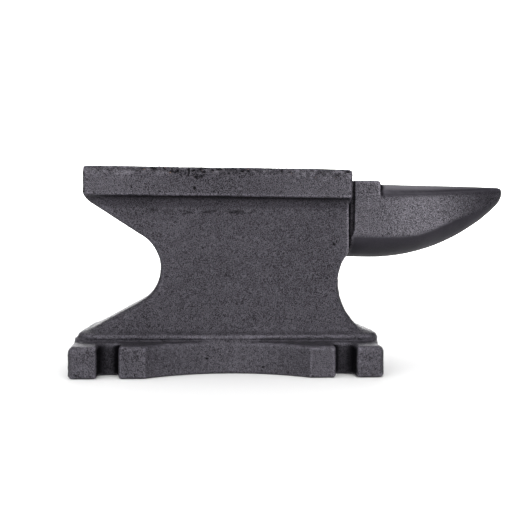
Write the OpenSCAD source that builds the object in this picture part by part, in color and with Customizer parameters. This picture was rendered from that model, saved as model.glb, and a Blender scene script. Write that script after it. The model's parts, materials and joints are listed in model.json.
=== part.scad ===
// Small one-horn bench anvil, a single iron casting drawn as its named regions, which meet face to face.
// +X points to the horn, +Z is up, and the origin is the centre of the underside of the base.

/* [Base] */
// Length of the base, end to end
base_l = 167; // [160:1:172]
// Width of the base
base_w = 95; // [92:1:110]
// Thickness of the base
base_h = 17; // [14:0.5:19]
// Distance from the middle of the base to the middle of each hold-down slot
slot_x = 62.75; // [61:0.25:64]
// Width of a hold-down slot
slot_w = 11; // [8:0.5:12]
// Depth of a hold-down slot, in from the long side
slot_d = 13; // [10:0.5:14]
// Radius of the blend between a corner foot and the back of its slot
slot_blend_r = 4.5; // [2:0.5:5]
// Radius of the upright corners of the feet
foot_r = 3; // [1:0.5:5]
// Length of the hollow in each long side
side_hollow_l = 87; // [70:1:95]
// Depth of the hollow in each long side
side_hollow_d = 15.5; // [8:0.5:15.5]

/* [Plinth] */
// Width of the plinth, and of the foot of the body on it
plinth_w = 63; // [60:1:64]
// Height of the plinth
plinth_h = 3.2; // [2:0.2:4]
// Radius of the upright corners of the plinth
plinth_r = 8.3; // [4:0.1:12]

/* [Body] */
// Thickness of the body at its foot
body_w_low = 59; // [54:1:60]
// Thickness of the body under the face
body_w_high = 47; // [44:1:52]
// Place of the narrowest point of the heel end, from the middle of the base
waist_heel_x = 37; // [34:0.5:40]
// Height of that point
waist_heel_z = 57.4; // [55:0.2:60]
// Radius of the hollow under the heel
heel_hollow_r = 20.7; // [18:0.1:23]
// Slope of the underside of the heel
heel_slope = 32.7; // [31:0.1:34]
// Slope of the top of the flared foot under the heel
flare_slope = 29.1; // [28:0.1:30]
// Place of the narrowest point of the horn end, from the middle of the base
waist_horn_x = 62.2; // [60:0.2:64]
// Height of that point
waist_horn_z = 50.5; // [49:0.5:52]
// Radius of the hollow under that point
flare_hollow_r = 33; // [32:0.5:34]
// Radius of the hollow above it, under the horn
throat_r = 24; // [22:0.5:26]
// Place of the end face that carries the horn
body_end_x = 68; // [67:0.5:68.5]

/* [Face] */
// Height of the working face above the bench
face_z = 113; // [112:0.5:116]
// Thickness of the face plate
face_h = 16; // [15.5:0.5:17]
// Width of the face plate
face_w = 57; // [54:1:62]
// Place of the heel end of the face plate, from the middle of the base
face_heel_x = 79.1; // [78:0.1:81]
// Place of the horn end of the face plate
face_horn_x = 69; // [68.5:0.5:70]
// Radius of the lower corner of the heel end
heel_r = 7; // [5:0.5:7.5]
// Height of the worn bevel along the top edges
bevel_h = 3.3; // [2:0.1:4]
// How far that bevel cuts in
bevel_in = 1.6; // [0.8:0.1:2.4]

/* [Tool holes] */
// Side of the square hardy hole
hardy_w = 16; // [12:0.5:16]
// Place of the hardy hole, from the middle of the base
hardy_x = 56; // [55.5:0.1:56.5]
// Radius of the round pritchel hole
pritchel_r = 5; // [4:0.25:5]
// Place of the pritchel hole, from the middle of the base
pritchel_x = 70; // [69.5:0.1:70.5]
// Distance of the pritchel hole from the middle plane
pritchel_y = 15; // [14.5:0.5:16]

/* [Horn] */
// Place of the tip of the horn, from the middle of the base
horn_tip_x = 166.5; // [160:0.5:175]
// Width of the horn where it begins
horn_w = 40; // [36:1:42]
// Height of the top of the horn
horn_top_z = 106; // [105:0.25:106.5]
// Height of the underside of the horn where it begins
horn_low_z = 64.2; // [63.5:0.1:65.5]
// Place where the underside starts to rise
horn_rise_x = 85; // [80:1:90]
// Radius of the rising underside
horn_rise_r = 111.5; // [110:0.5:125]
// Place where the cheeks start to close in
horn_taper_x = 76; // [74:1:85]
// Half width left where the blunt tip begins
horn_tip_half_w = 5.4; // [4:0.2:7]
// Length of the blunt tip
horn_tip_l = 4; // [3:0.5:6]
// Length of the neck between the body and the cheeks
neck_l = 3.7; // [2:0.1:5]
// How far the neck lies in from the cheeks on each side
neck_in = 2.4; // [1:0.1:3]

/* [Cutting table] */
// Height of the cutting table above the bench
table_z = 108; // [107.5:0.25:110]
// Place of the horn end of the cutting table
table_end_x = 87.3; // [84:0.1:92]

/* [Hidden] */
$fn = 96;
over = 1;                                 // how far a cutting shape runs past what it cuts
far = 300;                                // longer than the anvil, for shapes that only trim one way
iron = [0.20, 0.20, 0.22];
iron_light = [0.27, 0.27, 0.29];

slot_in_x = slot_x - slot_w / 2;
slot_out_x = slot_x + slot_w / 2;
slot_back_y = base_w / 2 - slot_d;
side_hollow_r = (pow(side_hollow_l / 2, 2) + pow(side_hollow_d, 2)) / (2 * side_hollow_d);

body_low_z = base_h + plinth_h;
face_low_z = face_z - face_h;
table_seat_z = face_low_z;

// The hollow under the heel: a round of heel_hollow_r between two straight slopes.
heel_hollow_c = [-waist_heel_x - heel_hollow_r, waist_heel_z];
slope_start = heel_hollow_c + heel_hollow_r * [sin(heel_slope), cos(heel_slope)];
flare_start = heel_hollow_c + heel_hollow_r * [sin(flare_slope), -cos(flare_slope)];
slope_dir = [-cos(heel_slope), sin(heel_slope)];
flare_dir = [-cos(flare_slope), -sin(flare_slope)];
heel_cut_x = slope_start[0];

// The rounded lower corner of the heel end touches the end face and the sloping underside.
heel_touch_x = -face_heel_x + heel_r - heel_r * sin(heel_slope);
heel_touch_z = slope_start[1] + (slope_start[0] - heel_touch_x) * tan(heel_slope);
heel_corner_c = [-face_heel_x + heel_r, heel_touch_z + heel_r * cos(heel_slope)];

// Horn sections. Each has a flat top, rounded top edges, flat cheeks and a half-elliptic belly.
horn_start_x = body_end_x + neck_l;
horn_cap_x = horn_tip_x - horn_tip_l;
horn_taper_l = horn_cap_x - horn_taper_x;
horn_taper_d = horn_w / 2 - horn_tip_half_w;
horn_taper_r = (pow(horn_taper_l, 2) + pow(horn_taper_d, 2)) / (2 * horn_taper_d);
edge_share = 0.33;                        // top edge radius over the half width
belly_share = 0.67;                       // belly depth over the half width
horn_stations = 15;
cap_stations = 4;
edge_steps = 4;
belly_steps = 7;

function arc_drop(x, start, r) = x <= start ? 0 : r - sqrt(r * r - pow(x - start, 2));
function horn_half_w(x) = horn_w / 2 - arc_drop(x, horn_taper_x, horn_taper_r);
function horn_low(x) = horn_low_z + arc_drop(x, horn_rise_x, horn_rise_r);
function horn_mid(x) = (horn_low(x) + horn_top_z) / 2;

// The outline of one half of a section, from the top edge down to the middle of the belly.
function half_section(w, low, top) = [
    for (i = [0 : edge_steps]) let (a = 90 - 90 * i / edge_steps, r = edge_share * w)
        [w - r + r * cos(a), top - r + r * sin(a)],
    for (i = [0 : belly_steps]) let (a = -90 * i / belly_steps, d = belly_share * w)
        [w * cos(a), low + d + d * sin(a)]
];

// The whole outline of a section: the half section and its mirror image.
function section(w, low, top) =
    let (half = half_section(w, low, top))
    concat(half, [for (i = [len(half) - 2 : -1 : 0]) [-half[i][0], half[i][1]]]);

// A closed ring of points at x, shaped as at shape_x and shrunk by k about the middle of the section.
function horn_ring(x, shape_x, k) =
    let (zm = horn_mid(shape_x))
    [for (p = section(horn_half_w(shape_x), horn_low(shape_x), horn_top_z)) [x, k * p[0], zm + k * (p[1] - zm)]];

ring_n = 2 * (edge_steps + belly_steps + 2) - 1;
horn_rings = concat(
    [for (i = [0 : horn_stations])
        let (x = horn_start_x + (horn_cap_x - horn_start_x) * i / horn_stations) horn_ring(x, x, 1)],
    [for (i = [1 : cap_stations - 1]) let (a = 90 * i / cap_stations)
        horn_ring(horn_cap_x + horn_tip_l * sin(a), horn_cap_x, cos(a))]);
horn_points = concat([for (ring = horn_rings) each ring], [[horn_tip_x, 0, horn_mid(horn_cap_x)]]);
horn_tip_i = len(horn_points) - 1;
horn_faces = concat(
    [[for (i = [ring_n - 1 : -1 : 0]) i]],
    [for (s = [0 : len(horn_rings) - 2]) for (i = [0 : ring_n - 1])
        let (j = (i + 1) % ring_n, a = s * ring_n, b = a + ring_n)
        each [[a + i, b + j, b + i], [a + i, a + j, b + j]]],
    [for (i = [0 : ring_n - 1]) let (a = (len(horn_rings) - 1) * ring_n)
        [a + i, a + (i + 1) % ring_n, horn_tip_i]]);

// Draws a side outline, given as x and height, to a width centred on the middle plane.
module side_plate(width) {
    rotate([90, 0, 0]) linear_extrude(height = width, center = true) children();
}

// Draws a cross section, given as y and height, along X from one place to another.
module along_x(from_x, to_x) {
    translate([from_x, 0, 0]) rotate([90, 0, 90]) linear_extrude(height = to_x - from_x) children();
}

module rounded_rect(l, w, r) {
    square([l - 2 * r, w], center = true);
    square([l, w - 2 * r], center = true);
    for (sx = [-1, 1]) for (sy = [-1, 1]) translate([sx * (l / 2 - r), sy * (w / 2 - r)]) circle(r = r);
}

module base_plate() {
    color(iron) linear_extrude(height = base_h) difference() {
        union() {
            square([2 * slot_in_x, base_w], center = true);
            square([base_l, 2 * slot_back_y], center = true);
        }
        for (sy = [-1, 1]) translate([0, sy * (base_w / 2 - side_hollow_d + side_hollow_r)])
            circle(r = side_hollow_r, $fn = 256);
    }
}

// One corner foot, drawn for the +X +Y corner and mirrored to the others.
module foot(sx, sy) {
    mirror([sx < 0 ? 1 : 0, 0, 0]) mirror([0, sy < 0 ? 1 : 0, 0]) color(iron) linear_extrude(height = base_h) {
        translate([slot_out_x, slot_back_y]) square([base_l / 2 - slot_out_x, slot_d - foot_r]);
        translate([slot_out_x, slot_back_y]) square([base_l / 2 - slot_out_x - foot_r, slot_d]);
        translate([base_l / 2 - foot_r, base_w / 2 - foot_r]) circle(r = foot_r);
        difference() {
            translate([slot_out_x - slot_blend_r, slot_back_y]) square(slot_blend_r + over);
            translate([slot_out_x - slot_blend_r, slot_back_y + slot_blend_r]) circle(r = slot_blend_r);
            translate([slot_out_x - slot_blend_r, slot_back_y + slot_blend_r]) square([slot_blend_r, over]);
        }
    }
}

module foot_heel_front() {
    foot(-1, -1);
}

module foot_heel_back() {
    foot(-1, 1);
}

module foot_horn_front() {
    foot(1, -1);
}

module foot_horn_back() {
    foot(1, 1);
}

module plinth() {
    color(iron_light) translate([0, 0, base_h]) linear_extrude(height = plinth_h)
        rounded_rect(base_l, plinth_w, plinth_r);
}

// The space under the heel, seen from the side.
module heel_hollow() {
    translate(heel_hollow_c) circle(r = heel_hollow_r);
    polygon([slope_start, slope_start + far * slope_dir, flare_start + far * flare_dir, flare_start,
             heel_hollow_c]);
}

// The space under and beyond the horn end of the body, seen from the side.
module horn_hollow() {
    intersection() {
        translate([waist_horn_x + flare_hollow_r, waist_horn_z]) circle(r = flare_hollow_r);
        translate([waist_horn_x, 0]) square([far, waist_horn_z]);
    }
    intersection() {
        translate([waist_horn_x + throat_r, waist_horn_z]) circle(r = throat_r);
        translate([waist_horn_x, waist_horn_z]) square([far, throat_r]);
    }
    translate([body_end_x, waist_horn_z]) square([far, far]);
}

module waist() {
    color(iron_light) intersection() {
        side_plate(base_w) difference() {
            translate([-base_l / 2, body_low_z]) square([base_l, face_low_z - body_low_z]);
            heel_hollow();
            horn_hollow();
            translate([-far, waist_heel_z]) square([far + heel_cut_x, far]);
        }
        along_x(-base_l / 2, base_l / 2) polygon([[-body_w_low / 2, body_low_z], [body_w_low / 2, body_low_z],
            [body_w_high / 2, face_low_z], [-body_w_high / 2, face_low_z]]);
        linear_extrude(height = face_low_z) rounded_rect(base_l, plinth_w, plinth_r);
    }
}

// The heel end, from the end face back to the start of the slope, seen from the side.
module heel_outline() {
    translate(heel_corner_c) circle(r = heel_r);
    polygon([[-face_heel_x, face_z], [-face_heel_x, heel_corner_c[1]], heel_corner_c,
             [heel_touch_x, heel_touch_z], slope_start, [heel_cut_x, face_z]]);
}

module tool_holes() {
    translate([-hardy_x - hardy_w / 2, -hardy_w / 2, 0]) cube([hardy_w, hardy_w, face_z + over]);
    translate([-pritchel_x, pritchel_y, 0]) cylinder(r = pritchel_r, h = face_z + over);
}

module heel() {
    color(iron_light) difference() {
        side_plate(body_w_high) intersection() {
            heel_outline();
            translate([-face_heel_x, 0]) square([far, face_low_z]);
        }
        tool_holes();
    }
}

module face_plate() {
    color(iron) difference() {
        intersection() {
            side_plate(face_w) {
                intersection() {
                    heel_outline();
                    translate([-face_heel_x, face_low_z]) square([far, face_h]);
                }
                translate([heel_cut_x, face_low_z]) square([face_horn_x - heel_cut_x, face_h]);
            }
            along_x(-face_heel_x, face_horn_x) polygon([[-face_w / 2, face_low_z], [face_w / 2, face_low_z],
                [face_w / 2, face_z - bevel_h], [face_w / 2 - bevel_in, face_z],
                [bevel_in - face_w / 2, face_z], [-face_w / 2, face_z - bevel_h]]);
        }
        tool_holes();
    }
}

module cutting_table() {
    color(iron_light) translate([0, 0, table_seat_z]) {
        translate([horn_start_x, -horn_w / 2, 0])
            cube([table_end_x - horn_start_x, horn_w, table_z - table_seat_z]);
        translate([face_horn_x, neck_in - horn_w / 2, 0])
            cube([horn_start_x - face_horn_x, horn_w - 2 * neck_in, table_z - table_seat_z]);
    }
}

module horn() {
    color(iron) difference() {
        union() {
            polyhedron(points = horn_points, faces = horn_faces);
            along_x(body_end_x, horn_start_x)
                polygon(section(horn_w / 2 - neck_in, horn_low_z, horn_top_z));
        }
        translate([body_end_x - over, -base_w / 2, table_seat_z])
            cube([table_end_x - body_end_x + over, base_w, face_h]);
    }
}

base_plate();
foot_heel_front();
foot_heel_back();
foot_horn_front();
foot_horn_back();
plinth();
waist();
heel();
face_plate();
cutting_table();
horn();
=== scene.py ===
import json
import math
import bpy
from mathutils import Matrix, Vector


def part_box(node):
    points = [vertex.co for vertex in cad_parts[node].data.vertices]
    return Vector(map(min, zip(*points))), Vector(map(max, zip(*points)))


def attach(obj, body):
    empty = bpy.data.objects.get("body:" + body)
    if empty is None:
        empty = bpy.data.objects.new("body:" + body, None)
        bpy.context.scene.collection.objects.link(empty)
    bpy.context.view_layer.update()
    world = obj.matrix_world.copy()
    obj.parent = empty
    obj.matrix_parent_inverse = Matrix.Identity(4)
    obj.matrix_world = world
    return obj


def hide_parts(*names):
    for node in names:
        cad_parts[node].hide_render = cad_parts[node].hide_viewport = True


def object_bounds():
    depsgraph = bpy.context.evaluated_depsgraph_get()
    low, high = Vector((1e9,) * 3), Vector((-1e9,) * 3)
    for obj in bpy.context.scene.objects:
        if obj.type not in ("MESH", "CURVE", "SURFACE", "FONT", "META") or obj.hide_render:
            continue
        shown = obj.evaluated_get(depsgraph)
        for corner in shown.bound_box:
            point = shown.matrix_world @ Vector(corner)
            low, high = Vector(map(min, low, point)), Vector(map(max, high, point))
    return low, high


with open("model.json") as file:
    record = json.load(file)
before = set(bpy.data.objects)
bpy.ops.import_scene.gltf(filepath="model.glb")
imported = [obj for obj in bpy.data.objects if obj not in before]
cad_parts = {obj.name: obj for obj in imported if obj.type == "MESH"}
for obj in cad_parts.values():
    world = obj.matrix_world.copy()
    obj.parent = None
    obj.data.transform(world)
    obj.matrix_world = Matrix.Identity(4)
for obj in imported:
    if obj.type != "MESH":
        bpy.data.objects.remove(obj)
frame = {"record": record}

from types import SimpleNamespace

import bmesh
import bpy
import numpy as np
import openvdb
from mathutils import Matrix, Vector
from mathutils.geometry import delaunay_2d_cdt

cad_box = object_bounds()
MM = 0.001

# ---------------------------------------------------------------- driving sizes, in millimetres


def node_box(node):
    """A node's lowest and highest corners in millimetres."""
    low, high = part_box(node)
    return np.array(low) / MM, np.array(high) / MM


def mount(name):
    """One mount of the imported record."""
    return next(m for m in frame["record"]["mounts"] if m["name"] == name)


_, BASE_HIGH = node_box("base_plate")
FOOT_LOW, _ = node_box("foot_horn_back")
PLINTH_LOW, PLINTH_HIGH = node_box("plinth")
WAIST_LOW, WAIST_HIGH = node_box("waist")
HEEL_LOW, HEEL_HIGH = node_box("heel")
FACE_LOW, FACE_HIGH = node_box("face_plate")
TABLE_LOW, TABLE_HIGH = node_box("cutting_table")
HORN_LOW, HORN_HIGH = node_box("horn")

SLOT_X = mount("slot_horn_back")["pos_m"][0] / MM
SLOT_W = 11.0
SLOT_BACK_Y = FOOT_LOW[1]
SLOT_BLEND_R = 4.5
SIDE_HOLLOW_L = 87.0
SIDE_HOLLOW_D = 15.5
PLINTH_CORNER_R = 8.3

HEEL_HOLLOW_X = -37.0
HEEL_HOLLOW_Z = 57.4
HEEL_HOLLOW_R = 20.7
HEEL_SLOPE = math.radians(32.7)
FLARE_SLOPE = math.radians(29.1)
HEEL_CORNER_R = 7.0
HORN_HOLLOW_X = 62.2
HORN_HOLLOW_Z = 50.5
FLARE_HOLLOW_R = 33.0
THROAT_R = 24.0
BODY_END_X = HORN_LOW[0]

BEVEL_H = 3.3
BEVEL_IN = 1.6
HARDY_HALF = 8.0
HARDY_X = mount("hardy_hole")["pos_m"][0] / MM
PRITCHEL_X, PRITCHEL_Y = (v / MM for v in mount("pritchel_hole")["pos_m"][:2])
PRITCHEL_R = mount("pritchel_hole")["dims"]["r_mm"]

HORN_RISE_X = 85.0
HORN_RISE_R = 111.5
HORN_TAPER_X = 76.0
HORN_TIP_HALF_W = 5.4
HORN_TIP_L = 4.0
NECK_L = 3.7
NECK_IN = 2.4
EDGE_SHARE = 0.33
BELLY_SHARE = 0.67
BELLY_SHARE_GAIN = 0.27

VOXEL = 0.55
MARGIN = 3.0
FAR = 99.0

# ---------------------------------------------------------------- distance fields, in millimetres


def round_max(a, b, r):
    """Where both shapes are, with their shared edge rounded to radius r."""
    return np.minimum(np.maximum(a, b), -r) + np.hypot(np.maximum(a + r, 0), np.maximum(b + r, 0))


def round_min(a, b, r):
    """Where either shape is, with their shared corner filled to radius r."""
    return -round_max(-a, -b, r)


def smooth_step(low, high, v):
    """Rises smoothly from 0 at low to 1 at high."""
    t = np.clip((v - low) / (high - low), 0, 1)
    return t * t * (3 - 2 * t)


def rounded_rect(x, y, half_x, half_y, r):
    """Distance to a rectangle with corners of radius r."""
    qx, qy = np.abs(x) - half_x + r, np.abs(y) - half_y + r
    outside = np.hypot(np.maximum(qx, 0), np.maximum(qy, 0))
    return outside + np.minimum(np.maximum(qx, qy), 0) - r


def arc_drop(x, start, r):
    """How far a circle of radius r that is level at start has moved away at x."""
    past = np.clip(x - start, 0, 0.98 * r)
    return r - np.sqrt(r * r - past * past)


BASE_CORNER_R = 3.8
BASE_TOP_R = 2.1
BASE_END_R_GAIN = 1.4
BASE_END_FROM, BASE_END_TO = 9, 2
BASE_UNDER_R = 2.0
SLOT_EDGE_R = 1.8
SLOT_ROOT_R = 1.0
DECK_RISE = 0.5


def base_field(x, y, z):
    """The base and its feet. The deck rises a little towards the plinth, and the feet get rounder outwards."""
    side, ends = np.abs(y), np.abs(x)
    plan = rounded_rect(x, y, BASE_HIGH[0], BASE_HIGH[1], BASE_CORNER_R)
    hollow_r = ((SIDE_HOLLOW_L / 2) ** 2 + SIDE_HOLLOW_D**2) / (2 * SIDE_HOLLOW_D)
    hollow = hollow_r - np.hypot(x, side - (BASE_HIGH[1] - SIDE_HOLLOW_D + hollow_r))
    plan = np.maximum(plan, hollow)
    outer, inner = ends - (SLOT_X + SLOT_W / 2), (SLOT_X - SLOT_W / 2) - ends
    back = SLOT_BACK_Y - side
    slot = np.maximum(round_max(outer, back, SLOT_BLEND_R), round_max(inner, back, SLOT_ROOT_R))
    plan = round_max(plan, -slot, SLOT_EDGE_R)
    rise = DECK_RISE * smooth_step(BASE_HIGH[1], PLINTH_HIGH[1], side)
    top_r = BASE_TOP_R + BASE_END_R_GAIN * smooth_step(BASE_HIGH[0] - BASE_END_FROM, BASE_HIGH[0] - BASE_END_TO, ends)
    return round_max(round_max(plan, z - BASE_HIGH[2] - rise, top_r), -z, BASE_UNDER_R)


NECK_END_IN, NECK_SIDE_IN, NECK_CORNER_IN = 0.6, 0.7, 1
NECK_HALF_H = 1.8
RIDGE_SHIFT, RIDGE_END_IN = 1.4, 1.7
RIDGE_DROP, RIDGE_HALF_H, RIDGE_EDGE_R = 0.35, 1.3, 1.2


def ridge_plan(x, y):
    """The outline from above of the plinth's ridge and of the body's foot on it."""
    return rounded_rect(x - RIDGE_SHIFT, y, PLINTH_HIGH[0] - RIDGE_END_IN, PLINTH_HIGH[1], PLINTH_CORNER_R)


def plinth_field(x, y, z):
    """The plinth's neck, and the round ridge on top of it."""
    neck_x, neck_y = PLINTH_HIGH[0] - NECK_END_IN, PLINTH_HIGH[1] - NECK_SIDE_IN
    neck_plan = rounded_rect(x, y, neck_x, neck_y, PLINTH_CORNER_R - NECK_CORNER_IN)
    neck = np.maximum(neck_plan, np.abs(z - BASE_HIGH[2]) - NECK_HALF_H)
    ridge_mid = PLINTH_HIGH[2] - RIDGE_DROP
    ridge = round_max(ridge_plan(x, y), np.abs(z - ridge_mid) - RIDGE_HALF_H, RIDGE_EDGE_R)
    return neck, ridge


def heel_hollow(x, z):
    """The space under the heel, a round between two slopes, and its upper slope. Negative in the iron."""
    centre_x, centre_z = HEEL_HOLLOW_X - HEEL_HOLLOW_R, HEEL_HOLLOW_Z
    qx, qz = x - centre_x, z - centre_z
    up = qx * math.sin(HEEL_SLOPE) + qz * math.cos(HEEL_SLOPE) - HEEL_HOLLOW_R
    down = qx * math.sin(FLARE_SLOPE) - qz * math.cos(FLARE_SLOPE) - HEEL_HOLLOW_R
    along_up = -qx * math.cos(HEEL_SLOPE) + qz * math.sin(HEEL_SLOPE) > 0
    along_down = -qx * math.cos(FLARE_SLOPE) - qz * math.sin(FLARE_SLOPE) > 0
    space = np.hypot(qx, qz) - HEEL_HOLLOW_R
    space = np.where(along_up & ~along_down, up, space)
    space = np.where(along_down & ~along_up, down, space)
    space = np.where(along_up & along_down, np.maximum(up, down), space)
    return -space, -up


def heel_end_field(x, z, slope):
    """The heel end and the sloping underside, with their corner rounded by a touching circle."""
    end = FACE_LOW[0] - x
    centre_x = FACE_LOW[0] + HEEL_CORNER_R
    slope_z = HEEL_HOLLOW_Z + (HEEL_HOLLOW_R + math.sin(HEEL_SLOPE) * (HEEL_HOLLOW_X - HEEL_HOLLOW_R - centre_x)
                               + HEEL_CORNER_R) / math.cos(HEEL_SLOPE)
    qx, qz = x - centre_x, z - slope_z
    before_end = qz > 0
    past_slope = qx * math.cos(HEEL_SLOPE) - qz * math.sin(HEEL_SLOPE) > 0
    corner = np.hypot(qx, qz) - HEEL_CORNER_R
    return np.where(before_end | past_slope, np.maximum(end, slope), corner)


def horn_hollow(x, z):
    """The space under the horn: two rounds that meet at the narrowest point. Negative in the iron."""
    low = FLARE_HOLLOW_R - np.hypot(x - HORN_HOLLOW_X - FLARE_HOLLOW_R, z - HORN_HOLLOW_Z)
    high = THROAT_R - np.hypot(x - HORN_HOLLOW_X - THROAT_R, z - HORN_HOLLOW_Z)
    high = np.where(z < HORN_HOLLOW_Z + THROAT_R, high, -FAR)
    return np.where(z < HORN_HOLLOW_Z, low, high)


WAIST_SIDE_IN = 0.9
BODY_EDGE_R, BODY_FOOT_R_GAIN = 2.6, 2.0
BODY_END_OUT, BODY_END_R = 0.2, 0.7
BODY_PLAN_R = 1.5
BODY_SINK, BODY_REACH = 1.5, 4


def body_field(x, y, z):
    """Waist and heel, sunk a little into the plinth and reaching a little into the face plate."""
    hollow, _ = heel_hollow(x, z)
    side = np.maximum(hollow, horn_hollow(x, z))
    half_low, half_high = WAIST_HIGH[1] - WAIST_SIDE_IN, HEEL_HIGH[1]
    up = (z - WAIST_LOW[2]) / (WAIST_HIGH[2] - WAIST_LOW[2])
    cheek = np.abs(y) - (half_low + (half_high - half_low) * up)
    edge_r = BODY_EDGE_R + BODY_FOOT_R_GAIN * smooth_step(HEEL_HOLLOW_Z, WAIST_LOW[2], z)
    body = round_max(side, cheek, edge_r)
    body = round_max(body, np.where(z > HORN_HOLLOW_Z, x - BODY_END_X - BODY_END_OUT, -FAR), BODY_END_R)
    body = round_max(body, ridge_plan(x, y), BODY_PLAN_R)
    return np.maximum(body, np.maximum(PLINTH_LOW[2] + BODY_SINK - z, z - FACE_LOW[2] - BODY_REACH))


FACE_END_OUT, FACE_TOP_OUT = 0.4, 0.3
FACE_END_R = 2.2
FACE_SIDE_R_HEEL, FACE_SIDE_R_HORN = 3.4, 1.7
FACE_UNDER_R = 1.1
BEVEL_EDGE_R = 0.5
BEVEL_WAVES = ((0.35, 7.3, 0.0), (0.25, 3.1, 1.7), (0.15, 1.7, 0.4))


def face_field(x, y, z):
    """The face plate, with a worn bevel whose lower edge wanders up and down."""
    ends = np.maximum(FACE_LOW[0] - x, x - FACE_HIGH[0]) - FACE_END_OUT
    side = np.abs(y) - FACE_HIGH[1]
    slab = round_max(ends, z - FACE_HIGH[2] - FACE_TOP_OUT, FACE_END_R)
    slab = round_max(slab, side, np.where(x < 0, FACE_SIDE_R_HEEL, FACE_SIDE_R_HORN))
    slab = round_max(slab, FACE_LOW[2] - z, FACE_UNDER_R)
    wander = sum(depth * np.sin(x / length + turn) for depth, length, turn in BEVEL_WAVES)
    long = math.hypot(BEVEL_H, BEVEL_IN)
    bevel = (side * BEVEL_H + (z - FACE_HIGH[2] + BEVEL_H + wander) * BEVEL_IN) / long
    return round_max(slab, bevel, BEVEL_EDGE_R)


HORN_TOP_OUT = 0.4
HORN_TIP_R, HORN_ROOT_R = 4.2, 0.1
ROOT_X = BODY_END_X - 8
BELLY_GAIN_FROM, BELLY_GAIN_TO = HORN_RISE_X + 23, HORN_RISE_X + 53


def horn_shape(x):
    """Half width, height of the top and height of the underside of the horn at x."""
    cap_x = HORN_HIGH[0] - HORN_TIP_L
    taper_l, taper_d = cap_x - HORN_TAPER_X, HORN_HIGH[1] - HORN_TIP_HALF_W
    taper_r = (taper_l**2 + taper_d**2) / (2 * taper_d)
    half_w = HORN_HIGH[1] - arc_drop(x, HORN_TAPER_X, taper_r)
    top = HORN_HIGH[2] + HORN_TOP_OUT + 0 * x
    low = HORN_LOW[2] + arc_drop(x, HORN_RISE_X, HORN_RISE_R)
    return half_w, top, low


def belly_depth(x, half_w):
    """How far the round belly of the horn reaches up its side; it reaches further near the tip."""
    return half_w * (BELLY_SHARE + BELLY_SHARE_GAIN * smooth_step(BELLY_GAIN_FROM, BELLY_GAIN_TO, x))


def horn_field(x, y, z):
    """The horn: a flat top with rounded edges, flat cheeks and a half-elliptic belly."""
    half_w, top, low = horn_shape(x)
    side = np.abs(y)
    edge_r, belly = EDGE_SHARE * half_w, belly_depth(x, half_w)
    upper = round_max(side - half_w, z - top, edge_r)
    down = np.minimum(z - low - belly, 0)
    k0 = np.sqrt((side / half_w) ** 2 + (down / belly) ** 2)
    k1 = np.sqrt((side / half_w**2) ** 2 + (down / belly**2) ** 2)
    lower = k0 * (k0 - 1) / np.maximum(k1, 1e-6)
    section = np.where(z - low - belly < 0, lower, upper)
    return round_max(round_max(section, x - HORN_HIGH[0], HORN_TIP_R), ROOT_X - x, HORN_ROOT_R)


TABLE_TOP_R, TABLE_SIDE_R = 2.1, 0.9
TABLE_SIDE_OUT = 0.15
TABLE_CLEAR = 1


def table_field(x, y, z):
    """The cutting table, whose underside stays clear of the horn's rounding below it."""
    ends = np.maximum(ROOT_X - x, x - TABLE_HIGH[0])
    block = round_max(ends, z - TABLE_HIGH[2], TABLE_TOP_R)
    block = round_max(block, np.abs(y) - TABLE_HIGH[1] - TABLE_SIDE_OUT, TABLE_SIDE_R)
    return np.maximum(block, TABLE_LOW[2] + TABLE_CLEAR - z)


GROOVE_FADE_LOW, GROOVE_FADE_HIGH = HORN_LOW[2] + 4, HORN_LOW[2] + 17
GROOVE_END_OUT, GROOVE_LONGER = 0.3, 0.4
GROOVE_LEAST = 0.2
GROOVE_ROOT_R, GROOVE_EDGE_R = 2.0, 0.4
GROOVE_STOP = 2


def groove_field(x, y, z):
    """The groove behind the horn's cheeks, shallower and shorter towards the belly."""
    share = smooth_step(GROOVE_FADE_LOW, GROOVE_FADE_HIGH, z)
    end = BODY_END_X + GROOVE_END_OUT + (NECK_L + GROOVE_LONGER) * share
    floor = TABLE_HIGH[1] - NECK_IN * (GROOVE_LEAST + (1 - GROOVE_LEAST) * share)
    groove = round_max(x - end, floor - np.abs(y), GROOVE_ROOT_R)
    return np.maximum(groove, np.maximum(ROOT_X - x, HORN_LOW[2] + GROOVE_STOP - z))


NECK_FILLET, RIDGE_FILLET = 1.2, 0.3
FACE_FILLET = 4.4
TABLE_FILLET, HORN_FILLET = 0.3, 0.7
FOOT_FILLET, FOOT_FILLET_GAIN, FOOT_FILLET_REACH = 4.2, 2.0, 6
HARDY_CORNER_R = 1.0
HOLE_EDGE_R = 0.6
HOLE_SINK = 5


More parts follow.
